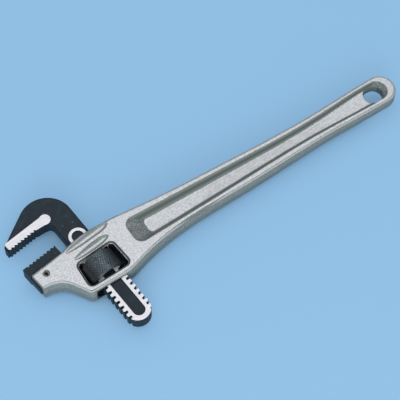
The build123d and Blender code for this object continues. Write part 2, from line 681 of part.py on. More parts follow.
def nut_thread():
    """Half turns of the nut's groove, in phase with the shank's ridges, past both ends of the nut."""
    flank = (THREAD_PITCH - THREAD_CREST - THREAD_ROOT) / 2 / THREAD_DEPTH
    base_half = (THREAD_PITCH - THREAD_ROOT) / 2 + THREAD_CLEARANCE / 2
    depth = THREAD_DEPTH + THREAD_CLEARANCE
    top_half = base_half - flank * depth
    section = [(0, -base_half), (depth, -top_half), (depth, top_half), (0, base_half)]
    rise = THREAD_PITCH / 2
    start = Pos(0, 0, THREAD_PITCH * SEAM_TURN / 360) * Rot(0, 0, SEAM_TURN)
    half_turn = start * thread_stretch(section, rise)
    ridge = crest_line_rise() + NUT_DROP - THREAD_FROM_TEETH
    reach = NUT_HEIGHT / 2 + THREAD_PITCH
    lowest = floor((-reach - ridge) / rise)
    highest = ceil((reach - ridge) / rise)
    return [Pos(0, 0, ridge + index * rise) * Rot(0, 0, 180 * index) * half_turn
            for index in range(lowest, highest)]


def adjusting_nut():
    """Round nut with chamfered ends and an inner thread that fits the shank."""
    ring = Cylinder(NUT_RADIUS, NUT_HEIGHT)
    ring = chamfer(ring.edges().filter_by(GeomType.CIRCLE), NUT_CHAMFER)
    bore_radius = ROOT_RADIUS + THREAD_CLEARANCE
    mouth_radius = CREST_RADIUS + NUT_COUNTERSINK
    sink_depth = mouth_radius - bore_radius
    countersink = Pos(0, 0, NUT_HEIGHT / 2 - sink_depth / 2) * Cone(bore_radius, mouth_radius, sink_depth)
    ring -= Cylinder(bore_radius, NUT_HEIGHT)
    ring -= nut_thread()
    ring -= both_faces(countersink)
    return NUT * UPRIGHT * ring


# Leaf, coil spring and rivet

def flat_spring():
    """Leaf that lies along the shank's edge inside the collar, with a hole for the rivet."""
    leaf = span_box(
        (HALF_SHANK + LEAF_GAP, LEAF_BACK), (LEAF_BOTTOM, LEAF_BOTTOM + LEAF_LENGTH), LEAF_WIDTH / 2)
    hole = Cylinder(RIVET_DIAMETER / 2 + RIVET_FIT, 2 * LEAF_BACK)
    leaf -= Pos(LEAF_BACK, SPRING_RISE, 0) * AWAY_FROM_SHANK * hole
    return SHANK * leaf


def coil_path():
    """Helix along Z that the middle of the coil's wire follows."""
    rise = COIL_LENGTH - COIL_WIRE
    return Helix(rise / COIL_TURNS, rise, (COIL_DIAMETER - COIL_WIRE) / 2)


def coil_spring():
    """Compression spring between the leaf and the end of its bore, one unbroken round wire."""
    path = coil_path()
    wire = sweep(Plane(origin=path @ 0, z_dir=path % 0) * Circle(COIL_WIRE / 2), path=path, is_frenet=True)
    start = LEAF_BACK + COIL_SEAT + COIL_WIRE / 2
    return SHANK * Pos(start, SPRING_RISE, 0) * AWAY_FROM_SHANK * wire


def spring_rivet():
    """Rivet through the leaf, with a flange behind it and a guide inside the coil."""
    front = HALF_SHANK + LEAF_GAP
    shaft_length = LEAF_THICKNESS + RIVET_FLANGE + RIVET_GUIDE
    shaft = Pos(0, 0, shaft_length / 2) * Cylinder(RIVET_DIAMETER / 2, shaft_length)
    flange = Pos(0, 0, LEAF_THICKNESS + RIVET_FLANGE / 2) * Cylinder(RIVET_FLANGE_DIAMETER / 2, RIVET_FLANGE)
    return SHANK * Pos(front, SPRING_RISE, 0) * AWAY_FROM_SHANK * (shaft + flange)


def coil_gap():
    """Least gap of the coil's wire to itself, measured on points more than half a turn apart."""
    path = coil_path()
    steps = COIL_TURNS * POINTS_PER_TURN
    points = [path @ (step / steps) for step in range(steps + 1)]
    apart = POINTS_PER_TURN // 2 + 1
    gaps = [(far - near).length for index, near in enumerate(points) for far in points[index + apart:]]
    return min(gaps) - COIL_WIRE


def main():
    os.makedirs("parts", exist_ok=True)
    pieces = {
        "handle": handle(),
        "heel_jaw": heel_jaw(),
        "heel_jaw_pin": heel_jaw_pin(),
        "hook_jaw": hook_jaw(),
        "adjusting_nut": adjusting_nut(),
        "flat_spring": flat_spring(),
        "coil_spring": coil_spring(),
        "spring_rivet": spring_rivet(),
    }
    for name, piece in pieces.items():
        export_step(piece, f"parts/{name}.step")
    print("least gap between turns of the coil, mm:", round(coil_gap(), 2))


main()
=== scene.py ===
"""Looks of the offset pipe wrench: finishes, knurled nut, coil, floor, light and camera."""
import logging
import math
from dataclasses import dataclass, field
from enum import Enum
from typing import Any, NamedTuple, Union

import bpy
import numpy as np
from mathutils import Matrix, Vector


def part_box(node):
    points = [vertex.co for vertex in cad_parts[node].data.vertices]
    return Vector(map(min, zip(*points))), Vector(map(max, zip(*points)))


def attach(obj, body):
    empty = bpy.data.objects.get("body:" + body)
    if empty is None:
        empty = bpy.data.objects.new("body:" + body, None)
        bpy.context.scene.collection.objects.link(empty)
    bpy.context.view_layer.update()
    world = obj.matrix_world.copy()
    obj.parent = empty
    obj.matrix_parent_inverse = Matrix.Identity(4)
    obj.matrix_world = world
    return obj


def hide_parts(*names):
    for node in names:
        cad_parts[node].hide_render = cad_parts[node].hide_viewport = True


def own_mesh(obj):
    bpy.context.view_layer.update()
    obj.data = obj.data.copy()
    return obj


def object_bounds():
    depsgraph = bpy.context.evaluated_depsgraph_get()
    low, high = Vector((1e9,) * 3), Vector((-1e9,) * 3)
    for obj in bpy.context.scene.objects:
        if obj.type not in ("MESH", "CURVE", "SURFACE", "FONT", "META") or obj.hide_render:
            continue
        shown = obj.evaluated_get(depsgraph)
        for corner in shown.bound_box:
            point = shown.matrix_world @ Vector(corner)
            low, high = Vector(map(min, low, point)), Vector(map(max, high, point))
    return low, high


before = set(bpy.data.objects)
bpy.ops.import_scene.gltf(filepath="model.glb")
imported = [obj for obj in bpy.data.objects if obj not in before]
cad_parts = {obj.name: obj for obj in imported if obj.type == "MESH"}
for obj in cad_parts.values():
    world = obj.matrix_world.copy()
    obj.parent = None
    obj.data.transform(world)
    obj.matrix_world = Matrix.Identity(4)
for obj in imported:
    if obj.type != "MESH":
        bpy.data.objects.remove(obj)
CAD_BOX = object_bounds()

LOG = logging.getLogger("pipe_wrench")
MM = 0.001
SHANK_LEAN = 4.5

Colour = tuple[float, float, float]
Place = tuple[float, float, float]
Socket = bpy.types.NodeSocket
Feed = Union[float, Colour, Socket]
Limits = tuple[float, float, float, float]
Span = tuple[float, float]

BEVEL_SAMPLES = 6
OPEN_SAMPLES = 8
NOISE_RANGE: Span = (0.3, 0.7)  # where most values of a noise lie


class Slot(Enum):
    """Material slots of the record that a new piece can fill."""

    NUT = "black_nut"
    SPRING = "spring_steel"


class Body(Enum):
    """Moving bodies that a new piece can ride on."""

    HANDLE = "handle"
    NUT = "nut"


class Joint(Enum):
    """Joints that a new piece can follow."""

    ROCK = "jaw_rock"


class Step(Enum):
    """Ways for a mask to go from one value to another."""

    SMOOTH = "SMOOTHSTEP"
    STRAIGHT = "LINEAR"


class Noise(NamedTuple):
    """Noise texture: features in a metre, finer layers, and factors on the scale along X, Y and Z."""

    scale: float
    detail: float = 2.0
    stretch: tuple[float, float, float] = (1.0, 1.0, 1.0)


class Graph:
    """Node tree of one material, with a principled shader at its end."""

    def __init__(self, name: str) -> None:
        """Start the tree with its shader, its output and the Object coordinates.

        Args:
            name: Name of the material.
        """
        self.material = bpy.data.materials.new(name)
        self.material.use_nodes = True
        self.tree = self.material.node_tree
        self.tree.nodes.clear()
        output = self.node("ShaderNodeOutputMaterial")
        self.shader = self.node("ShaderNodeBsdfPrincipled")
        self.tree.links.new(self.shader.outputs["BSDF"], output.inputs["Surface"])
        coordinates = self.node("ShaderNodeTexCoord")
        self.place = coordinates.outputs["Object"]
        self.facing = coordinates.outputs["Normal"]

    def node(self, kind: str, **settings: Any) -> bpy.types.Node:
        """Add a node and set its properties.

        Args:
            kind: Blender's name of the node type.
            settings: Properties of the node and their values.

        Returns:
            The new node.
        """
        node = self.tree.nodes.new(kind)
        for name, value in settings.items():
            setattr(node, name, value)
        return node

    def feed(self, target: Socket, value: Feed) -> None:
        """Link a socket to the target, or set a plain value on it.

        Args:
            target: Input socket.
            value: Output socket, number or colour.
        """
        if isinstance(value, bpy.types.NodeSocket):
            self.tree.links.new(value, target)
        elif isinstance(value, tuple) and target.type == "RGBA":
            target.default_value = (*value, 1.0)
        else:
            target.default_value = value

    def set(self, **values: Feed) -> None:
        """Feed the shader's sockets, each named by its label with underscores for spaces."""
        for name, value in values.items():
            self.feed(self.shader.inputs[name.replace("_", " ")], value)

    def noise(self, texture: Noise) -> Socket:
        """Noise on Object coordinates.

        Args:
            texture: Scale, detail and stretch of the noise.

        Returns:
            Noise from 0 to 1.
        """
        mapping = self.node("ShaderNodeMapping", vector_type="POINT")
        self.feed(mapping.inputs["Vector"], self.place)
        self.feed(mapping.inputs["Scale"], texture.stretch)
        noise = self.node("ShaderNodeTexNoise")
        self.feed(noise.inputs["Vector"], mapping.outputs["Vector"])
        self.feed(noise.inputs["Scale"], texture.scale)
        self.feed(noise.inputs["Detail"], texture.detail)
        return noise.outputs["Fac"]

    def math(self, operation: str, first: Feed, second: Feed = 0.0) -> Socket:
        """One sum on two numbers.

        Args:
            operation: Blender's name of the sum.
            first: First number.
            second: Second number.

        Returns:
            The result.
        """
        node = self.node("ShaderNodeMath", operation=operation)
        self.feed(node.inputs[0], first)
        self.feed(node.inputs[1], second)
        return node.outputs[0]

    def band(
            self, value: Socket, low: Feed, high: Feed, start: Feed = 0.0, end: Feed = 1.0,
            step: Step = Step.SMOOTH) -> Socket:
        """Step of a value.

        Args:
            value: Number to map.
            low: Value at which the step starts.
            high: Value at which the step ends.
            start: Result below low.
            end: Result above high.
            step: How the result goes from start to end.

        Returns:
            The mapped number.
        """
        node = self.node("ShaderNodeMapRange", interpolation_type=step.value)
        numbers = (value, low, high, start, end)
        names = ("Value", "From Min", "From Max", "To Min", "To Max")
        for name, number in zip(names, numbers):
            self.feed(node.inputs[name], number)
        return node.outputs["Result"]

    def blend(self, factor: Socket, low: Feed, high: Feed) -> Socket:
        """Colour between two colours.

        Args:
            factor: Share of the second colour.
            low: First colour.
            high: Second colour.

        Returns:
            The blended colour.
        """
        node = self.node("ShaderNodeMix", data_type="RGBA")
        sockets = {socket.identifier: socket for socket in node.inputs}
        self.feed(sockets["Factor_Float"], factor)
        self.feed(sockets["A_Color"], low)
        self.feed(sockets["B_Color"], high)
        return next(socket for socket in node.outputs if socket.identifier == "Result_Color")

    def part(self, vector: Socket, name: str) -> Socket:
        """One component of a vector."""
        parts = self.node("ShaderNodeSeparateXYZ")
        self.feed(parts.inputs["Vector"], vector)
        return parts.outputs[name]

    def axis(self, vector: Socket, name: str) -> Socket:
        """Size of one component of a vector, without its sign."""
        return self.math("ABSOLUTE", self.part(vector, name))

    def inverse(self, value: Socket) -> Socket:
        """What a mask leaves out."""
        return self.math("SUBTRACT", 1.0, value)

    def soft_normal(self, radius: float) -> Socket:
        """Normal that rounds the sharp edges of a solid by a radius in metres."""
        node = self.node("ShaderNodeBevel", samples=BEVEL_SAMPLES)
        self.feed(node.inputs["Radius"], radius)
        return node.outputs["Normal"]

    def edge_mask(self, normal: Socket, low: float = 0.01, high: float = 0.16) -> Socket:
        """Mask that is 1 on edges, where the rounded normal leaves the true one.

        Args:
            normal: Rounded normal.
            low: Departure at which the edge starts.
            high: Departure at which the mask is full.

        Returns:
            Mask from 0 to 1.
        """
        geometry = self.node("ShaderNodeNewGeometry")
        product = self.node("ShaderNodeVectorMath", operation="DOT_PRODUCT")
        self.feed(product.inputs[0], normal)
        self.feed(product.inputs[1], geometry.outputs["Normal"])
        return self.band(self.math("SUBTRACT", 1.0, product.outputs["Value"]), low, high)

    def open_share(self, reach: float) -> Socket:
        """Share of the room above a point that nothing covers within a reach in metres."""
        node = self.node("ShaderNodeAmbientOcclusion", samples=OPEN_SAMPLES)
        self.feed(node.inputs["Distance"], reach)
        return node.outputs["AO"]

    def bump(self, height: Socket, depth: float, strength: float, normal: Socket | None = None) -> Socket:
        """Normal bent by a height field.

        Args:
            height: Height from 0 to 1.
            depth: Height of 1 in metres.
            strength: Share of the bump that is used.
            normal: Normal to bend, or None for the surface's own.

        Returns:
            The bent normal.
        """
        node = self.node("ShaderNodeBump")
        self.feed(node.inputs["Height"], height)
        self.feed(node.inputs["Distance"], depth)
        self.feed(node.inputs["Strength"], strength)
        if normal is not None:
            self.feed(node.inputs["Normal"], normal)
        return node.outputs["Normal"]


@dataclass(frozen=True)
class CastAluminium:
    """Sand casting: blasted bright on its faces, greyer on its walls, with painted shade in its panels and
    its window.

    Places are in metres, in the frame of the wrench. Those of the window are measured from the nut's
    middle, along the window's own sides. Spans named tilt are of a part of the normal, and spans named
    pits of a noise.
    """

    face: Colour = (0.600, 0.605, 0.620)
    pit: Colour = (0.430, 0.442, 0.445)
    wall: Colour = (0.250, 0.278, 0.270)
    wall_pit: Colour = (0.130, 0.152, 0.146)
    # Fillet colour: edge wear and a painted highlight between faces and walls.
    edge: Colour = (0.560, 0.575, 0.580)
    # Skin colours of the panel walls and scoops, darkened by painted shade in these recesses.
    shaded_skin: Colour = (0.175, 0.206, 0.200)
    side: Colour = (0.175, 0.205, 0.197)
    shaded_skin_pit: Colour = (0.055, 0.072, 0.068)
    # Painted shade: the window's bevel and the near-black walls inside the window and the slots.
    bevel: Colour = (0.055, 0.068, 0.070)
    shade: Colour = (0.010, 0.012, 0.014)
    # Painted highlight along the foot of the window's bevel, drawn as a worn edge.
    worn_highlight: Colour = (0.800, 0.800, 0.810)
    edge_share: float = 0.6
    scoop_share: float = 0.5
    edge_radius: float = 0.6 * MM
    rim_radius: float = 1.1 * MM
    draft: float = 0.32
    face_metal: float = 0.5
    wall_metal: float = 0.12
    bump_depth: float = 0.16 * MM
    bump_share: float = 0.6
    rough_start: float = -162.0 * MM
    rough_end: float = -20.0 * MM
    rough_ragged: float = 36.0 * MM
    wrinkle_height: float = 4.0
    floor_height: float = 4.4 * MM
    neck_height: float = 10.2 * MM
    end_height: float = 6.6 * MM
    ramp_dark: float = 0.85
    panel_start: float = -247.0 * MM
    panel_neck: float = -205.0 * MM
    panel_waist: float = -100.0 * MM
    panel_end: float = 4.2 * MM
    neck_half: float = 14.9 * MM
    waist_half: float = 9.2 * MM
    end_widening: float = 1.4 * MM
    window_lean: float = SHANK_LEAN
    window_limits: Limits = (-21.2 * MM, 21.0 * MM, -14.5 * MM, 13.5 * MM)
    scoop_limits: Limits = (-40.0 * MM, 36.0 * MM, 14.0 * MM, 60.0 * MM)
    passage_limits: Limits = (-17.5 * MM, 11.6 * MM, -40.0 * MM, 60.0 * MM)
    slot_height: float = 7.4 * MM
    bevel_foot: float = 9.3 * MM
    grain: Noise = Noise(1000.0, 4.0)
    mottle: Noise = Noise(150.0, 4.0)
    front: Noise = Noise(110.0)
    wrinkles: Noise = Noise(300.0, 4.0, (0.55, 1.6, 1.0))
    level_tilt: Span = (0.93, 0.985)
    draft_tilt: Span = (0.25, 0.85)
    side_tilt: Span = (0.40, 0.62)
    bevel_tilt: Span = (0.3, 0.6)
    slot_tilt: Span = (0.90, 0.98)
    fillet_start_tilt: Span = (0.50, 0.66)
    fillet_end_tilt: Span = (0.78, 0.90)
    face_pits: Span = (0.40, 0.66)
    mottle_pits: Span = (0.50, 0.75)
    wrinkle_pits: Span = (0.30, 0.65)
    wall_pits: Span = (0.40, 0.68)
    skin_pits: Span = (0.40, 0.62)
    mottle_share: float = 0.30
    wrinkle_share: float = 0.65
    mottle_height: float = 1.5
    rim_departure: Span = (0.004, 0.05)
    ramp_rise: Span = (0.05, 0.45)
    ramp_fall: Span = (0.55, 0.95)
    roughness: Span = (0.40, 0.56)
    fine_step: float = 0.2 * MM
    floor_step: float = 0.6 * MM
    panel_step: float = 1.0 * MM
    rough_step: float = 2.0 * MM
    rough_fade: float = 20.0 * MM

    def material(self, window_centre: Place) -> bpy.types.Material:
        """Make the finish.

        Args:
            window_centre: Place of the nut's middle, in metres.

        Returns:
            The material.
        """
        graph = Graph("cast_aluminium")
        tilt = graph.axis(graph.facing, "Z")
        height = graph.axis(graph.place, "Z")
        level = graph.band(tilt, *self.level_tilt)
        panel = self.panel_mask(graph)
        steep = graph.band(tilt, *self.draft_tilt, self.draft, 0.0)
        drafted = graph.math("MULTIPLY", steep, graph.inverse(panel))
        soft = self.drafted_normal(graph, drafted)
        window = self.head_mask(graph, window_centre, self.window_limits)
        grain = graph.noise(self.grain)
        mottle = graph.noise(self.mottle)
        faces = graph.blend(graph.band(grain, *self.face_pits), self.face, self.pit)
        faces = graph.blend(graph.band(mottle, *self.mottle_pits, 0.0, self.mottle_share), faces, self.pit)
        wrinkles = self.rough_skin(graph)
        creases = graph.band(wrinkles, *self.wrinkle_pits, 0.0, self.wrinkle_share)
        faces = graph.blend(creases, faces, self.pit)
        walls = graph.blend(graph.band(grain, *self.wall_pits), self.wall, self.wall_pit)
        # Panel walls: casting skin with painted shade in the recess.
        shaded_skin = graph.blend(graph.band(grain, *self.skin_pits), self.shaded_skin, self.shaded_skin_pit)
        # Painted shade across the middle of the panels' side ramps.
        sides = graph.blend(self.ramp_shade(graph, height), self.side, self.shaded_skin_pit)
        shaded_skin = graph.blend(graph.band(graph.axis(graph.facing, "Y"), *self.side_tilt), shaded_skin, sides)
        # Painted shade inside the window: a dark bevel and near-black walls.
        inside = graph.blend(graph.band(tilt, *self.bevel_tilt), self.shade, self.bevel)
        scoops = self.head_mask(graph, window_centre, self.scoop_limits)
        # Edge wear and a painted highlight on the fillets between faces and walls, left out in the scoops.
        fillet_start = graph.band(tilt, *self.fillet_start_tilt)
        fillet_end = graph.band(tilt, *self.fillet_end_tilt, self.edge_share, 0.0)
        rubbed_and_highlight = graph.math("MULTIPLY", graph.math("MULTIPLY", fillet_start, fillet_end), graph.inverse(scoops))
        walls = graph.blend(rubbed_and_highlight, walls, self.edge)
        # Painted shade in the scoops above the window.
        walls = graph.blend(graph.math("MULTIPLY", scoops, self.scoop_share), walls, self.shaded_skin)
        walls = graph.blend(panel, walls, shaded_skin)
        walls = graph.blend(window, walls, inside)
        colour = graph.blend(level, walls, faces)
        # Painted shade inside the slots.
        colour = graph.blend(self.slot_mask(graph, window_centre, height), colour, self.shade)
        # Painted highlight: a thin bright line at the foot of the window's bevel, drawn as a worn edge.
        below_bevel = graph.band(height, self.bevel_foot, self.bevel_foot + self.fine_step, 1.0, 0.0)
        worn_highlight_edges = graph.edge_mask(graph.soft_normal(self.rim_radius), *self.rim_departure)
        line = graph.math("MULTIPLY", worn_highlight_edges, graph.math("MULTIPLY", window, below_bevel))
        colour = graph.blend(line, colour, self.worn_highlight)
        relief = graph.math("ADD", grain, graph.math("MULTIPLY", mottle, self.mottle_height))
        relief = graph.math("ADD", relief, graph.math("MULTIPLY", wrinkles, self.wrinkle_height))
        graph.set(
            Base_Color=colour, Metallic=graph.band(level, 0.0, 1.0, self.wall_metal, self.face_metal),
            Roughness=graph.band(grain, *NOISE_RANGE, *self.roughness),
            Normal=graph.bump(relief, self.bump_depth, self.bump_share, soft))
        return graph.material

    def drafted_normal(self, graph: Graph, share: Socket) -> Socket:
        """Rounded normal that leans up above the parting line and down below it.

        Args:
            graph: Tree to build in.
            share: How far the normal leans, as a share of its length.

        Returns:
            The normal.
        """
        half = graph.math("SIGN", graph.part(graph.place, "Z"))
        lean = graph.node("ShaderNodeCombineXYZ")
        graph.feed(lean.inputs["Z"], graph.math("MULTIPLY", half, share))
        total = graph.node("ShaderNodeVectorMath", operation="ADD")
        graph.feed(total.inputs[0], graph.soft_normal(self.edge_radius))
        graph.feed(total.inputs[1], lean.outputs["Vector"])
        unit = graph.node("ShaderNodeVectorMath", operation="NORMALIZE")
        graph.feed(unit.inputs[0], total.outputs["Vector"])
        return unit.outputs["Vector"]

    def ramp_shade(self, graph: Graph, height: Socket) -> Socket:
        """Mask of painted shade that darkens the panels' ramps halfway between the floor and the rail.

        Args:
            graph: Tree to build in.
            height: Distance from the middle plane.

        Returns:
            Mask from 0 to its greatest share.
        """
        along = graph.part(graph.place, "X")
        rail = graph.band(along, self.panel_start, 0.0, self.neck_height, self.end_height, Step.STRAIGHT)
        climbed = graph.band(height, self.floor_height, rail, 0.0, 1.0, Step.STRAIGHT)
        rising = graph.band(climbed, *self.ramp_rise)
        falling = graph.band(climbed, *self.ramp_fall, self.ramp_dark, 0.0)
        return graph.math("MULTIPLY", rising, falling)

    def panel_mask(self, graph: Graph) -> Socket:
        """Mask of the two sunk panels, seen from above.

        The panel's half width falls from the neck to the waist and widens again to a half circle at its end.

        Args:
            graph: Tree to build in.

        Returns:
            Mask from 0 to 1.
        """
        along = graph.part(graph.place, "X")
        across = graph.axis(graph.place, "Y")
        past_end = graph.math("MAXIMUM", graph.math("SUBTRACT", along, self.panel_end), 0.0)
        squares = graph.math("ADD", graph.math("POWER", past_end, 2.0), graph.math("POWER", across, 2.0))
        half = graph.math(
            "ADD", graph.band(along, self.panel_neck, self.panel_waist, self.neck_half, self.waist_half),
            graph.band(along, self.panel_waist, 0.0, 0.0, self.end_widening))
        spare = graph.math("SUBTRACT", half, graph.math("SQRT", squares))
        started = graph.band(along, self.panel_start, self.panel_start + self.panel_step)
        return graph.math("MULTIPLY", graph.band(spare, -self.fine_step, self.fine_step), started)

    def head_mask(self, graph: Graph, centre: Place, limits: Limits) -> Socket:
        """Mask of a rectangle on the head, seen from above.

        Args:
            graph: Tree to build in.
            centre: Place of the nut's middle.
            limits: Left, right, bottom and top of the rectangle, from that place.

        Returns:
            Mask from 0 to 1.
        """
        mapping = graph.node("ShaderNodeMapping", vector_type="TEXTURE")
        graph.feed(mapping.inputs["Vector"], graph.place)
        graph.feed(mapping.inputs["Location"], centre)
        graph.feed(mapping.inputs["Rotation"], (0.0, 0.0, math.radians(self.window_lean)))
        mask: Feed = 1.0
        left, right, bottom, top = limits
        for name, low, high in (("X", left, right), ("Y", bottom, top)):
            place = graph.part(mapping.outputs["Vector"], name)
            mask = graph.math("MULTIPLY", mask, graph.math("GREATER_THAN", place, low))
            mask = graph.math("MULTIPLY", mask, graph.math("LESS_THAN", place, high))
        return mask

    def slot_mask(self, graph: Graph, centre: Place, height: Socket) -> Socket:
        """Mask of the slots inside the head, where the shank passes and the heel jaw sits, which get painted
        shade.

        Args:
            graph: Tree to build in.
            centre: Place of the nut's middle.
            height: Distance from the middle plane.

        Returns:
            Mask from 0 to 1.
        """
        passage = self.head_mask(graph, centre, self.passage_limits)
        facing_in = graph.band(graph.axis(graph.facing, "Z"), *self.slot_tilt)
        along = graph.part(graph.place, "X")
        head = graph.band(along, self.panel_start - self.panel_step, self.panel_start, 1.0, 0.0)
        walls = graph.math("MAXIMUM", passage, graph.math("MULTIPLY", facing_in, head))
        deep = graph.band(height, self.slot_height - self.fine_step, self.slot_height, 1.0, 0.0)
        return graph.math("MULTIPLY", walls, deep)

    def rough_skin(self, graph: Graph) -> Socket:
        """Height of the coarser casting skin on the panels' floors, which starts in a ragged front.

        Args:
            graph: Tree to build in.

        Returns:
            Height from 0 to 1.
        """
        ragged = graph.math("MULTIPLY", graph.noise(self.front), self.rough_ragged)
        along = graph.math("ADD", graph.part(graph.place, "X"), ragged)
        stretch = graph.math(
            "MULTIPLY", graph.band(along, self.rough_start, self.rough_start + self.rough_step),
            graph.band(along, self.rough_end - self.rough_fade, self.rough_end, 1.0, 0.0))
        depth = graph.axis(graph.place, "Z")
        on_floor = graph.band(depth, self.floor_height, self.floor_height + self.floor_step, 1.0, 0.0)
        wrinkles = graph.noise(self.wrinkles)
        return graph.math("MULTIPLY", wrinkles, graph.math("MULTIPLY", stretch, on_floor))


@dataclass(frozen=True)
class BlackOxide:
    """Blackened forging, with faces ground bright where they stand proud."""

    name: str = "black_oxide"
    black: Colour = (0.007, 0.014, 0.022)
    faded: Colour = (0.016, 0.026, 0.036)
    ground: Colour = (0.740, 0.725, 0.755)
    burnished: Colour = (0.930, 0.925, 0.930)
    land_height: float | None = None
    edge_radius: float = 0.5 * MM
    cloud: Noise = Noise(160.0, 4.0)
    grain: Noise = Noise(1800.0)
    specks: Noise = Noise(560.0, 1.0)
    grinding: Noise = Noise(500.0, 3.0, (0.15, 4.0, 1.0))
    faded_span: Span = (0.35, 0.75)
    speck_span: Span = (0.76, 0.80)
    grinding_span: Span = (0.35, 0.75)
    speck_share: float = 0.25
    grinding_share: float = 0.22
    land_metal: float = 0.4
    land_tilt: Span = (0.80, 0.95)
    land_depth: Span = (0.10 * MM, 0.02 * MM)
    roughness: Span = (0.42, 0.56)
    specular: float = 0.22
    bump_depth: float = 0.05 * MM
    bump_share: float = 0.4

    def material(self) -> bpy.types.Material:
        """Make the finish.

        Returns:
            The material.
        """
        graph = Graph(self.name)
        soft = graph.soft_normal(self.edge_radius)
        edges = graph.edge_mask(soft)
        cloud = graph.noise(self.cloud)
        grain = graph.noise(self.grain)
        specks = graph.band(graph.noise(self.specks), *self.speck_span)
        colour = graph.blend(graph.band(cloud, *self.faded_span), self.black, self.faded)
        colour = graph.blend(graph.math("MULTIPLY", specks, self.speck_share), colour, self.ground)
        roughness = graph.band(cloud, *NOISE_RANGE, *self.roughness)
        metallic: Feed = 0.0
        if self.land_height is not None:
            land = self.land_mask(graph)
            lines = graph.band(graph.noise(self.grinding), *self.grinding_span, 0.0, self.grinding_share)
            bright = graph.blend(lines, self.ground, self.faded)
            bright = graph.blend(edges, bright, self.burnished)
            colour = graph.blend(land, colour, bright)
            metallic = graph.math("MULTIPLY", land, self.land_metal)
        graph.set(
            Base_Color=colour, Metallic=metallic, Roughness=roughness, Specular_IOR_Level=self.specular,
            Normal=graph.bump(grain, self.bump_depth, self.bump_share, soft))
        return graph.material

    def land_mask(self, graph: Graph) -> Socket:
        """Mask of the ground lands, the level faces at the full thickness.

        Args:
            graph: Tree to build in.

        Returns:
            Mask from 0 to 1.
        """
        height = graph.axis(graph.place, "Z")
        start, full = self.land_depth
        proud = graph.band(height, self.land_height - start, self.land_height - full)
        level = graph.band(graph.axis(graph.facing, "Z"), *self.land_tilt)
        return graph.math("MULTIPLY", proud, level)


@dataclass(frozen=True)
class KnurledOxide:
    """Black nut, rubbed grey on the knurl's points, most on its top and bottom at rest, which also paints its
    highlight.
    """

    black: Colour = (0.004, 0.005, 0.006)
    # Rubbed points, which also carry the nut's painted highlight.
    rubbed_and_highlight: Colour = (0.190, 0.250, 0.285)
    cloud: Noise = Noise(260.0, 3.0)
    grain: Noise = Noise(2200.0)
    patch_span: Span = (0.3, 0.6)
    patch_wear: Span = (0.45, 1.0)
    metal: float = 0.9
    roughness: Span = (0.24, 0.36)
    specular: float = 0.3
    bump_depth: float = 0.04 * MM
    bump_share: float = 0.4

    def material(self) -> bpy.types.Material:
        """Make the finish, which reads the knurl's wear and painted highlight from the mesh's own attribute.

        Returns:
            The material.
        """
        graph = Graph("black_nut")
        wear_and_highlight = graph.node("ShaderNodeAttribute", attribute_name="wear_and_highlight").outputs["Fac"]
        cloud = graph.noise(self.cloud)
        # Wear of the knurl's points, which also paints the nut's highlight on its top.
        points = graph.math("MULTIPLY", wear_and_highlight, graph.band(cloud, *self.patch_span, *self.patch_wear))
        grain = graph.noise(self.grain)
        graph.set(
            Base_Color=graph.blend(points, self.black, self.rubbed_and_highlight),
            Metallic=graph.math("MULTIPLY", points, self.metal),
            Roughness=graph.band(cloud, *NOISE_RANGE, *self.roughness), Specular_IOR_Level=self.specular,
            Normal=graph.bump(grain, self.bump_depth, self.bump_share))
        return graph.material


@dataclass(frozen=True)
class PlainSteel:
    """Bare steel of the pin and the rivet, a little stained."""

    clean: Colour = (0.155, 0.145, 0.130)
    stain: Colour = (0.050, 0.045, 0.040)
    cloud: Noise = Noise(700.0, 4.0)
    scratches: Noise = Noise(1600.0, 2.0, (1.0, 1.0, 0.1))
    stain_span: Span = (0.35, 0.7)
    metal: float = 0.8
    roughness: Span = (0.32, 0.55)
    edge_radius: float = 0.25 * MM
    bump_depth: float = 0.03 * MM
    bump_share: float = 0.4

    def material(self) -> bpy.types.Material:
        """Make the finish.

        Returns:
            The material.
        """
        graph = Graph("plain_steel")
        soft = graph.soft_normal(self.edge_radius)
        cloud = graph.noise(self.cloud)
        scratches = graph.noise(self.scratches)
        graph.set(
            Base_Color=graph.blend(graph.band(cloud, *self.stain_span), self.clean, self.stain),
            Metallic=self.metal, Roughness=graph.band(cloud, *NOISE_RANGE, *self.roughness),
            Normal=graph.bump(scratches, self.bump_depth, self.bump_share, soft))
        return graph.material


@dataclass(frozen=True)
class SpringSteel:
    """Blued spring steel with a drawn grain."""

    blue: Colour = (0.10, 0.12, 0.16)
    straw: Colour = (0.24, 0.21, 0.17)
    cloud: Noise = Noise(300.0, 3.0)
    drawn: Noise = Noise(2400.0, 2.0, (1.0, 0.2, 1.0))
    straw_span: Span = (0.4, 0.7)
    metal: float = 0.9
    roughness: Span = (0.25, 0.42)
    bump_depth: float = 0.02 * MM
    bump_share: float = 0.4

    def material(self) -> bpy.types.Material:
        """Make the finish.

        Returns:
            The material.
        """
        graph = Graph("spring_steel")
        cloud = graph.noise(self.cloud)
        drawn = graph.noise(self.drawn)
        graph.set(
            Base_Color=graph.blend(graph.band(cloud, *self.straw_span), self.blue, self.straw),
            Metallic=self.metal, Roughness=graph.band(drawn, *NOISE_RANGE, *self.roughness),
            Normal=graph.bump(drawn, self.bump_depth, self.bump_share))
        return graph.material


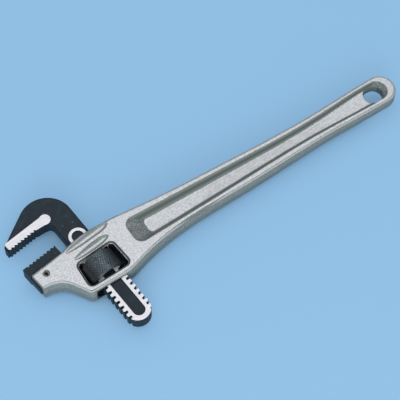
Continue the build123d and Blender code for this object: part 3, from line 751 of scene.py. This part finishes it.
@dataclass(frozen=True)
class PaperBackdrop:
    """Matt pale blue paper under the wrench."""

    paper: Colour = (0.136, 0.250, 0.366)
    lighter: Colour = (0.142, 0.256, 0.374)
    glow: Colour = (0.265, 0.480, 0.715)
    glow_share: float = 0.5
    glow_reach: float = 25.0 * MM
    glow_open: Span = (0.05, 0.5)
    cloud: Noise = Noise(3.0)
    fibre: Noise = Noise(900.0, 3.0)
    roughness: float = 0.9
    specular: float = 0.1
    bump_depth: float = 0.05 * MM
    bump_share: float = 0.2

    def material(self) -> bpy.types.Material:
        """Make the finish, half of it seen by its own glow so that shadows stay pale; the glow fades out
        under and near the wrench, a painted contact shadow.

        Returns:
            The material.
        """
        graph = Graph("paper_backdrop")
        cloud = graph.noise(self.cloud)
        fibre = graph.noise(self.fibre)
        rays = graph.node("ShaderNodeLightPath").outputs
        seen = graph.math("MAXIMUM", rays["Is Camera Ray"], rays["Is Glossy Ray"])
        seen = graph.math("MAXIMUM", seen, rays["Is Transmission Ray"])
        # The glow fades out under and near the wrench: a painted contact shadow.
        uncovered = graph.band(graph.open_share(self.glow_reach), *self.glow_open)
        seen = graph.math("MULTIPLY", seen, uncovered)
        graph.set(
            Base_Color=graph.blend(cloud, self.paper, self.lighter), Roughness=self.roughness,
            Specular_IOR_Level=self.specular, Emission_Color=self.glow,
            Emission_Strength=graph.math("MULTIPLY", seen, self.glow_share),
            Normal=graph.bump(fibre, self.bump_depth, self.bump_share))
        return graph.material


def dress(node: str, material: bpy.types.Material) -> None:
    """Give a CAD node a finish.

    Args:
        node: Name of the node.
        material: Finish that fills its material slots.
    """
    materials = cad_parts[node].data.materials
    materials.clear()
    materials.append(material)
    LOG.info("dressed %s in %s", node, material.name)


@dataclass
class Casting:
    """Handle and head in one casting."""

    node: str = "handle"
    nut: str = "adjusting_nut"
    finish: CastAluminium = field(default_factory=CastAluminium)

    def build(self) -> None:
        """Dress the casting, whose window lies round the nut."""
        dress(self.node, self.finish.material(tuple(middle(self.nut))))


@dataclass
class Jaws:
    """Hook jaw, heel jaw and the heel jaw's pin."""

    land_height: float = 6.5 * MM

    def build(self) -> None:
        """Dress both jaws and the pin."""
        dress("hook_jaw", BlackOxide("hook_oxide", land_height=self.land_height).material())
        dress("heel_jaw", BlackOxide("heel_oxide").material())
        dress("heel_jaw_pin", PlainSteel().material())


def add_piece(
        name: str, points: np.ndarray, faces: list[list[int]],
        material: bpy.types.Material) -> bpy.types.Object:
    """Put a new mesh into the scene.

    Args:
        name: Name of the piece.
        points: Points in metres.
        faces: Corners of each face.
        material: Finish of the piece.

    Returns:
        The new object.
    """
    mesh = bpy.data.meshes.new(name)
    mesh.from_pydata(points, [], faces)
    mesh.materials.append(material)
    mesh.update()
    piece = bpy.data.objects.new(name, mesh)
    bpy.context.scene.collection.objects.link(piece)
    LOG.info("built %s with %d faces", name, len(faces))
    return piece


def middle(node: str) -> np.ndarray:
    """Middle of a CAD node's box, in metres."""
    low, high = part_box(node)
    return (np.array(low) + np.array(high)) / 2


def shank_axes(lean: float) -> tuple[np.ndarray, np.ndarray, np.ndarray]:
    """Directions across the shank, along it and out of its flat.

    Args:
        lean: Lean of the shank, in degrees.

    Returns:
        The three directions.
    """
    angle = math.radians(lean)
    across = np.array((math.cos(angle), math.sin(angle), 0.0))
    along = np.array((-math.sin(angle), math.cos(angle), 0.0))
    return across, along, np.array((0.0, 0.0, 1.0))


@dataclass
class SpringPack:
    """Leaf, coil and rivet that press on the shank inside the head, with sizes in millimetres.
    """

    coil: str = "coil_spring"
    lean: float = SHANK_LEAN
    diameter: float = 6.0
    wire: float = 0.9
    length: float = 11.0
    turns: int = 6
    turn_steps: int = 36
    sides: int = 12
    push_across: float = 0.861
    push_along: float = -0.508
    keep: float = 0.84

    def build(self) -> None:
        """Dress the leaf and the rivet, and build the coil."""
        spring = SpringSteel().material()
        dress("flat_spring", spring)
        dress("spring_rivet", PlainSteel().material())
        points, faces = self.wire_surface()
        piece = add_piece("coil_wire", points, faces, spring)
        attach(piece, Body.HANDLE.value)
        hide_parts(self.coil)
        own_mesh(piece)

    def wire_surface(self) -> tuple[np.ndarray, list[list[int]]]:
        """Round wire wound into a coil.

        Formula: the wire's middle climbs along the coil's axis while it turns round it, and a circle of
        the wire's radius, square to that path, is carried along. Two flat discs close its ends.

        Returns:
            Points in metres and the corners of each face.
        """
        across, along, out = shank_axes(self.lean)
        turn = np.linspace(0.0, 2 * np.pi * self.turns, self.turns * self.turn_steps + 1)[:, None]
        radius = (self.diameter - self.wire) / 2
        rise = self.length - self.wire
        spoke = np.cos(turn) * along + np.sin(turn) * out
        path = np.linspace(-rise / 2, rise / 2, len(turn))[:, None] * across + radius * spoke
        heading = rise / turn[-1] * across + radius * (np.cos(turn) * out - np.sin(turn) * along)
        heading /= np.linalg.norm(heading, axis=1, keepdims=True)
        square = np.cross(heading, spoke)
        round_wire = np.linspace(0.0, 2 * np.pi, self.sides, endpoint=False)[None, :, None]
        circle = np.cos(round_wire) * spoke[:, None, :] + np.sin(round_wire) * square[:, None, :]
        points = (path[:, None, :] + self.wire / 2 * circle) * MM + middle(self.coil)
        index = np.arange(len(turn) * self.sides).reshape(len(turn), self.sides)
        beside = np.roll(index, -1, axis=1)
        quads = np.stack((index[:-1], beside[:-1], beside[1:], index[1:]), axis=-1).reshape(-1, 4)
        ends = [index[0, ::-1].tolist(), index[-1].tolist()]
        return points.reshape(-1, 3), quads.tolist() + ends


@dataclass
class KnurledNut:
    """Adjusting nut with a diamond knurl outside and the shank's thread inside, sizes in millimetres."""

    node: str = "adjusting_nut"
    lean: float = SHANK_LEAN
    radius: float = 15.6
    height: float = 19.2
    chamfer: float = 1.4
    bore: float = 10.4
    thread_outer: float = 12.8
    mouth: float = 13.5
    pitch: float = 5.4
    groove_rise: float = 30.52
    groove_half: float = 1.9
    groove_base: float = 10.1
    flank: float = 0.229
    knurl_count: int = 50
    knurl_depth: float = 0.42
    knurl_flat: float = 1.6
    # Wear of the knurl, most on the nut's top and bottom at rest, which also paints its highlight.
    least_wear_and_highlight: float = 0.06
    wear_and_highlight_power: int = 8
    plain_wear_and_highlight: float = 0.5
    knurl_slope: float = 1.0
    turn_steps: int = 480
    outer_rows: int = 72
    inner_rows: int = 84
    end_rows: int = 6

    def profile(self) -> tuple[np.ndarray, np.ndarray, np.ndarray]:
        """Closed section of the plain ring, once round from the outer wall's foot.

        The outer wall runs up, the upper chamfer and face run in, the bore runs down, and the lower face
        and chamfer run out again.

        Returns:
            Radius, height and the share of the knurl at each step.
        """
        half = self.height / 2
        edge = half - self.chamfer
        corner = self.radius - self.chamfer
        wall = np.linspace(-edge, edge, self.outer_rows)
        slant = np.linspace(0.0, 1.0, self.end_rows)
        bore = np.linspace(half, -half, self.inner_rows)
        radii = [
            np.full_like(wall, self.radius), self.radius - self.chamfer * slant[1:],
            np.linspace(corner, self.mouth, self.end_rows)[1:-1], np.full_like(bore, self.bore),
            np.linspace(self.mouth, corner, self.end_rows)[1:-1], corner + self.chamfer * slant[:-1]]
        heights = [
            wall, edge + self.chamfer * slant[1:], np.full(self.end_rows - 2, half), bore,
            np.full(self.end_rows - 2, -half), -half + self.chamfer * slant[:-1]]
        counts = [len(part) for part in radii]
        knurled = np.repeat([1.0, 0.0, 0.0, 0.0, 0.0, 0.0], counts)
        return np.concatenate(radii), np.concatenate(heights), knurled

    def surface(self) -> tuple[np.ndarray, np.ndarray]:
        """Points of the nut on a grid that closes in both directions.

        Formula: the section turns round the nut's axis. On the wall, two families of helical grooves
        cross, and the lower of their two triangle waves, cut off flat, is taken off the radius, so that
        blunt diamonds stand between them. In the bore, the radius follows the thread's flanks by the
        distance along the axis to the helix, held between crest and root, and never falls inside the
        countersinks.

        The points are rubbed most on two opposite sides, by a high power of the sine of the turn; at rest
        these face up and down, so this also paints the nut's highlight.

        Returns:
            Points in metres, with rows along the section and columns round the axis, and the wear with its
            painted highlight.
        """
        radii, heights, knurled = self.profile()
        turn = np.linspace(0.0, 2 * np.pi, self.turn_steps, endpoint=False)
        radius = np.repeat(radii[:, None], self.turn_steps, axis=1)
        height = np.repeat(heights[:, None], self.turn_steps, axis=1)
        round_phase = turn[None, :] * self.knurl_count / (2 * np.pi)
        rise_phase = height * self.knurl_slope * self.knurl_count / (2 * np.pi * self.radius)
        first = 2 * np.abs((round_phase + rise_phase) % 1.0 - 0.5)
        second = 2 * np.abs((round_phase - rise_phase) % 1.0 - 0.5)
        raised = np.minimum(self.knurl_flat * np.minimum(first, second), 1.0)
        diamond = np.where(knurled[:, None] > 0, raised, self.plain_wear_and_highlight)
        wall = radius - self.knurl_depth * (1.0 - diamond) * knurled[:, None]
        offset = height - self.groove_rise - self.pitch * turn[None, :] / (2 * np.pi)
        offset = (offset + self.pitch / 2) % self.pitch - self.pitch / 2
        thread = self.groove_base + (self.groove_half - np.abs(offset)) / self.flank
        thread = np.clip(thread, self.bore, self.thread_outer)
        countersink = self.mouth - (self.height / 2 - np.abs(height))
        inside = radius <= self.bore
        radius = np.where(inside, np.maximum(thread, countersink), wall)
        across, along, out = shank_axes(self.lean)
        spoke = np.cos(turn)[None, :, None] * across - np.sin(turn)[None, :, None] * out
        points = (radius[..., None] * spoke + height[..., None] * along) * MM
        # Most wear on the top and bottom at rest: partly real wear, partly the nut's painted highlight.
        sides = self.least_wear_and_highlight + (1.0 - self.least_wear_and_highlight) * np.sin(turn) ** self.wear_and_highlight_power
        return points + middle(self.node), diamond * sides[None, :]

    def build(self) -> None:
        """Build the knurled nut in place of the plain one and dress it."""
        points, wear_and_highlight = self.surface()
        rows, columns = wear_and_highlight.shape
        index = np.arange(rows * columns).reshape(rows, columns)
        down = np.roll(index, -1, axis=0)
        beside = np.roll(index, -1, axis=1)
        across = np.roll(down, -1, axis=1)
        quads = np.stack((index, beside, across, down), axis=-1).reshape(-1, 4)
        piece = add_piece("knurled_nut", points.reshape(-1, 3), quads.tolist(), KnurledOxide().material())
        worn_highlight = piece.data.attributes.new("wear_and_highlight", "FLOAT", "POINT")
        worn_highlight.data.foreach_set("value", wear_and_highlight.astype(np.float32).ravel())
        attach(piece, Body.NUT.value)
        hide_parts(self.node)


@dataclass
class Studio:
    """Floor, light and camera, with sizes in metres and angles in degrees."""

    aim: Place = (-0.17855, -0.0011, 0.0)
    azimuth: float = -33.6
    elevation: float = 62.0
    distance: float = 1.24
    lens: float = 135.0
    floor_gap: float = 0.0002
    floor_half: float = 4.0
    sky: Colour = (0.92, 0.95, 1.0)
    sky_strength: float = 0.80
    horizon_strength: float = 0.25
    softbox_size: float = 3.0
    softbox_distance: float = 2.0
    softbox_elevation: float = 92.0
    softbox_power: float = 22.0
    fill_size: float = 1.6
    fill_distance: float = 2.0
    fill_elevation: float = 22.0
    fill_power: float = 28.0
    fill_colour: Colour = (0.96, 1.0, 1.0)

    def towards_camera(self, elevation: float) -> Vector:
        """Direction from the wrench to the camera's side of the room.

        Args:
            elevation: Angle above the floor.

        Returns:
            The direction, one metre long.
        """
        tilt = math.radians(elevation)
        turn = math.radians(self.azimuth)
        level = math.cos(tilt)
        return Vector((level * math.sin(turn), -level * math.cos(turn), math.sin(tilt)))

    def build(self) -> None:
        """Build the floor, the light and the camera."""
        self.floor()
        self.light()
        self.camera()

    def floor(self) -> None:
        """Lay the paper just below the lowest piece."""
        height = CAD_BOX[0][2] - self.floor_gap
        half = self.floor_half
        corners = [(-half, -half, height), (half, -half, height), (half, half, height), (-half, half, height)]
        floor = add_piece("floor", np.array(corners), [[0, 1, 2, 3]], PaperBackdrop().material())

    def light(self) -> None:
        """Hang a large softbox overhead and a fill lamp on the camera's side, and light the room evenly."""
        world = bpy.data.worlds.new("studio")
        world.use_nodes = True
        tree = world.node_tree
        background = tree.nodes["Background"]
        background.inputs["Color"].default_value = (*self.sky, 1.0)
        direction = tree.nodes.new("ShaderNodeSeparateXYZ")
        tree.links.new(tree.nodes.new("ShaderNodeTexCoord").outputs["Generated"], direction.inputs["Vector"])
        fade = tree.nodes.new("ShaderNodeMapRange")
        fade.inputs["To Min"].default_value = self.horizon_strength
        fade.inputs["To Max"].default_value = self.sky_strength
        tree.links.new(direction.outputs["Z"], fade.inputs["Value"])
        tree.links.new(fade.outputs["Result"], background.inputs["Strength"])
        bpy.context.scene.world = world
        self.lamp(
            "softbox", self.softbox_elevation, self.softbox_distance, self.softbox_size, self.softbox_power)
        fill = self.lamp("fill", self.fill_elevation, self.fill_distance, self.fill_size, self.fill_power)
        fill.color = self.fill_colour

    def lamp(
            self, name: str, elevation: float, distance: float, size: float,
            power: float) -> bpy.types.AreaLight:
        """Hang a square lamp that faces the point that the camera aims at.

        Args:
            name: Name of the lamp.
            elevation: Angle above the floor on the camera's side, past 90 on the far side.
            distance: Distance from that point.
            size: Side of the lamp.
            power: Power in watts.

        Returns:
            The lamp's settings.
        """
        direction = self.towards_camera(elevation)
        data = bpy.data.lights.new(name, "AREA")
        data.shape = "SQUARE"
        data.size = size
        data.energy = power
        lamp = bpy.data.objects.new(name, data)
        lamp.location = Vector(self.aim) + direction * distance
        lamp.rotation_euler = direction.to_track_quat("Z", "Y").to_euler()
        bpy.context.scene.collection.objects.link(lamp)
        return data

    def camera(self) -> None:
        """Place the camera at the photograph's viewing angle."""
        data = bpy.data.cameras.new("camera")
        data.lens = self.lens
        camera = bpy.data.objects.new("camera", data)
        camera.location = Vector(self.aim) + self.towards_camera(self.elevation) * self.distance
        camera.rotation_euler = (math.radians(90.0 - self.elevation), 0.0, math.radians(self.azimuth))
        bpy.context.scene.collection.objects.link(camera)
        bpy.context.scene.camera = camera
        bpy.context.scene.view_settings.view_transform = "Standard"


def main() -> None:
    """Build and dress the sub-assemblies in order, then the studio around them."""
    logging.basicConfig(level=logging.INFO, format="%(message)s")
    for assembly in (Casting(), Jaws(), SpringPack(), KnurledNut(), Studio()):
        assembly.build()


if __name__ == "__main__":
    main()
